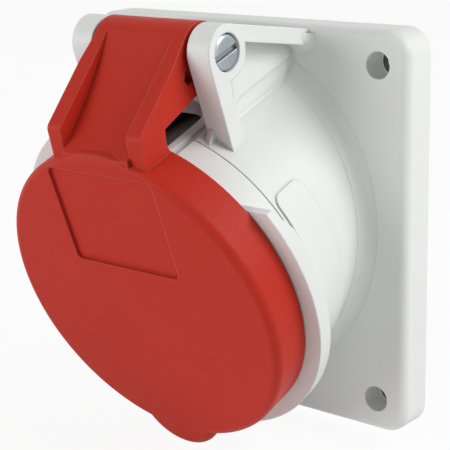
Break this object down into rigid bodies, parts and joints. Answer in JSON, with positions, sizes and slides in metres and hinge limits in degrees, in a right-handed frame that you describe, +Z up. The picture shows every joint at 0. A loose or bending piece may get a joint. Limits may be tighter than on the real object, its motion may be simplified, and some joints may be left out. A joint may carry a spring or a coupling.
{
  "type": "inclined panel mount pin and sleeve socket",
  "caption": "Round pin and sleeve socket leaning down from a square panel flange, with a grey moulded housing and a red spring-closed lid hinged at the top.",
  "frame": {"origin": "centre of the flange's back face, on the panel, midway between the four fixing holes", "axes": "+Z up, the socket faces -Y and looks down by its tilt, +X to the right seen from the front"},
  "size_m": [0.084, 0.0786, 0.0917],
  "materials": {
    "housing_grey": "smooth moulded plastic",
    "lid_red": "satin moulded plastic",
    "insert_dark": "matt moulded plastic",
    "gasket_black": "soft rubber",
    "contact_brass": "turned and nickel plated",
    "spring_steel": "spring steel",
    "screw_steel": "zinc plated steel"
  },
  "bodies": {
    "housing": {"housing": "housing_grey", "flange_gasket": "gasket_black", "contact_carrier": "insert_dark", "terminal_block": "insert_dark", "contact_l1": "contact_brass", "contact_l2": "contact_brass", "contact_l3": "contact_brass", "contact_n": "contact_brass", "contact_pe": "contact_brass", "spring_ring_l1": "spring_steel", "spring_ring_l2": "spring_steel", "spring_ring_l3": "spring_steel", "spring_ring_n": "spring_steel", "spring_ring_pe": "spring_steel", "terminal_screws": "screw_steel", "carrier_screws": "screw_steel", "block_screw": "screw_steel", "hinge_screw": "screw_steel", "lid_spring": "spring_steel"},
    "lid": {"lid": "lid_red", "lid_gasket": "gasket_black"}
  },
  "joints": [
    {"name": "lid_hinge", "type": "hinge", "parent": "housing", "child": "lid", "pos_m": [0, -0.03377, 0.03944], "axis": [-1, 0, 0], "range_deg": [0, 110], "stiffness_Nm_per_rad": 0.06, "springref_deg": -57.3, "deforming": ["lid_spring"]}
  ]
}
